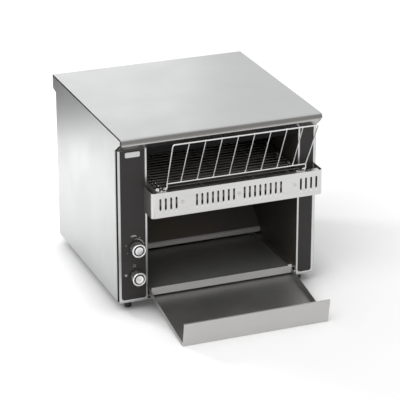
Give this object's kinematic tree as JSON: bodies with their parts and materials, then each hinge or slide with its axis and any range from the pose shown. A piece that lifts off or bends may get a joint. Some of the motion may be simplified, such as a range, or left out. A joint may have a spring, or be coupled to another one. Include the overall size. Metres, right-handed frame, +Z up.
{
  "type": "conveyor toaster",
  "caption": "Countertop conveyor toaster with wire belt over a lower outlet, leaning wire loading rack, slotted front shield, two control knobs, landing tray and toast tray.",
  "frame": {"origin": "on the counter, below the middle of the whole object with its toast tray in place", "axes": "+X to the user's right, +Y to the back, +Z up; the user stands at -Y"},
  "size_m": [0.47, 0.6652, 0.4153],
  "materials": {
    "casing_steel": "brushed stainless sheet",
    "shield_steel": "satin stainless sheet",
    "chamber_steel": "heat-darkened sheet",
    "reflector_metal": "dulled reflector sheet",
    "soffit_paint": "satin black paint",
    "overlay_film": "matte dark film",
    "badge_plate": "blank plate",
    "element_sheath": "oxidised sheath",
    "bead_ceramic": "white steatite",
    "belt_wire": "heat-tinted stainless wire",
    "rack_wire": "bright wire",
    "bushing_bronze": "sintered bronze",
    "shaft_steel": "turned steel",
    "sprocket_steel": "oiled steel",
    "motor_metal": "die-cast gearbox and painted can",
    "bracket_zinc": "zinc plated",
    "screw_steel": "bright",
    "tray_steel": "stainless sheet",
    "knob_metallised": "metallised ribbed side, dark groove",
    "control_plastic": "moulded",
    "board_laminate": "solder mask",
    "fan_plastic": "moulded",
    "guard_wire": "bright wire",
    "foot_rubber": "moulded"
  },
  "bodies": {
    "chassis": {"base_pan": "casing_steel", "side_panel_left": "casing_steel", "side_panel_right": "casing_steel", "top_cover": "casing_steel", "front_soffit": "soffit_paint", "front_panel": "casing_steel", "control_overlay": "overlay_film", "right_overlay": "overlay_film", "blank_badge": "badge_plate", "rear_panel": "casing_steel", "chamber_wall_left": "chamber_steel", "chamber_wall_right": "chamber_steel", "chamber_ceiling": "chamber_steel", "upper_reflector": "reflector_metal", "lower_reflector": "reflector_metal", "toast_chute": "chamber_steel", "rear_deflector": "chamber_steel", "upper_elements": "element_sheath", "lower_elements": "element_sheath", "element_beads": "bead_ceramic", "conveyor_belt": "belt_wire", "belt_rails": "belt_wire", "shaft_bushings": "bushing_bronze", "drive_chain": "sprocket_steel", "gearmotor": "motor_metal", "motor_bracket": "bracket_zinc", "front_heat_shield": "shield_steel", "shield_rivets": "screw_steel", "rack_brackets": "bracket_zinc", "tray_hook_rod": "shaft_steel", "tray_runners": "bracket_zinc", "speed_potentiometer": "control_plastic", "selector_switch": "control_plastic", "control_board": "board_laminate", "board_standoffs": "bracket_zinc", "terminal_block": "control_plastic", "fan_frame": "fan_plastic", "fan_guard": "guard_wire", "cord_gland": "fan_plastic", "rear_screws": "screw_steel", "rubber_feet": "foot_rubber", "foot_studs": "screw_steel"},
    "speed_control": {"speed_knob": "knob_metallised", "speed_spindle": "shaft_steel"},
    "selector_control": {"selector_knob": "knob_metallised", "selector_spindle": "shaft_steel"},
    "drive_assembly": {"drive_shaft": "shaft_steel", "drive_sprockets": "sprocket_steel", "driven_sprocket": "sprocket_steel"},
    "idler_assembly": {"idler_shaft": "shaft_steel", "idler_sprockets": "sprocket_steel"},
    "motor_output": {"motor_shaft": "shaft_steel", "motor_sprocket": "sprocket_steel"},
    "cooling_fan": {"fan_rotor": "fan_plastic"},
    "loading_rack": {"load_rack": "rack_wire"},
    "landing_tray_body": {"landing_tray": "tray_steel"},
    "toast_tray_body": {"toast_tray": "tray_steel"}
  },
  "joints": [
    {"name": "speed_turn", "type": "hinge", "parent": "chassis", "child": "speed_control", "pos_m": [-0.195, -0.11236, 0.151], "axis": [0, 1, 0], "range_deg": [-135, 135]},
    {"name": "selector_turn", "type": "hinge", "parent": "chassis", "child": "selector_control", "pos_m": [-0.195, -0.11236, 0.083], "axis": [0, 1, 0], "range_deg": [-60, 60]},
    {"name": "drive_turn", "type": "hinge", "parent": "chassis", "child": "drive_assembly", "pos_m": [0, 0.20404, 0.273], "axis": [-1, 0, 0], "continuous": true},
    {"name": "idler_turn", "type": "hinge", "parent": "chassis", "child": "idler_assembly", "pos_m": [0, -0.13036, 0.273], "axis": [-1, 0, 0], "continuous": true},
    {"name": "motor_turn", "type": "hinge", "parent": "chassis", "child": "motor_output", "pos_m": [-0.177, 0.19004, 0.141], "axis": [-1, 0, 0], "continuous": true},
    {"name": "fan_turn", "type": "hinge", "parent": "chassis", "child": "cooling_fan", "pos_m": [-0.201, 0.31164, 0.321], "axis": [0, 1, 0], "continuous": true},
    {"name": "rack_turn", "type": "hinge", "parent": "chassis", "child": "loading_rack", "pos_m": [0, -0.15036, 0.2938], "axis": [-1, 0, 0], "range_deg": [0, 23]},
    {"name": "landing_tray_slide", "type": "slide", "parent": "chassis", "child": "landing_tray_body", "axis": [0, -1, 0], "range_m": [0, 0.185]},
    {"name": "toast_tray_lift", "type": "hinge", "parent": "chassis", "child": "toast_tray_body", "pos_m": [0, -0.10836, 0.028], "axis": [-1, 0, 0], "range_deg": [0, 9]}
  ],
  "couplings": [
    {"joint": "idler_turn", "follows": "drive_turn", "ratio": 1},
    {"joint": "motor_turn", "follows": "drive_turn", "ratio": 1.5556}
  ]
}
